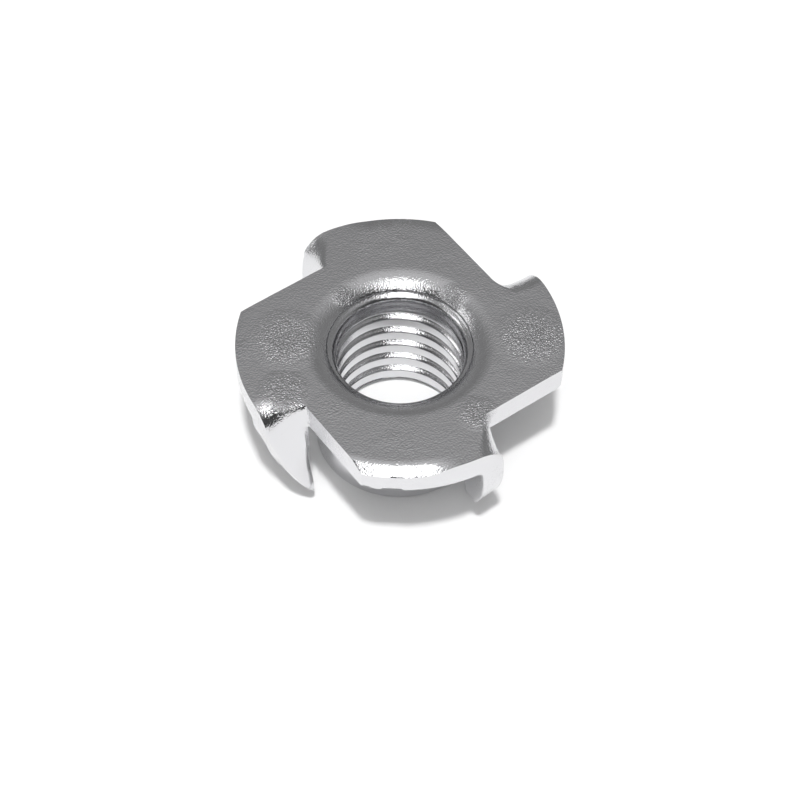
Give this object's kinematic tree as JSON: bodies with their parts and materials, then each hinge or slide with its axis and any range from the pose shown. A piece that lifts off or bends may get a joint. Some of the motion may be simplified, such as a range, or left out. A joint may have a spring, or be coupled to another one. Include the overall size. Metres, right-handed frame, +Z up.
{
  "type": "tee nut",
  "caption": "Pressed tee nut: a flanged threaded barrel with folded prongs that bite into wood, so that a machine screw can be fastened to a board.",
  "frame": {"origin": "centre of the barrel's open end, on the bore's axis, which is the lowest plane of the part", "axes": "+Z runs up the bore from the barrel's open end to the flange; the four shears lie along +X, +Y, -X and -Y of the axis, each square to its own direction"},
  "size_m": [0.0232, 0.0232, 0.0106],
  "materials": {
    "zinc_plated_steel": "bright zinc plating over pressed steel, softly polished by barrel plating"
  },
  "bodies": {
    "root": {"tee_nut": "zinc_plated_steel"}
  },
  "joints": []
}
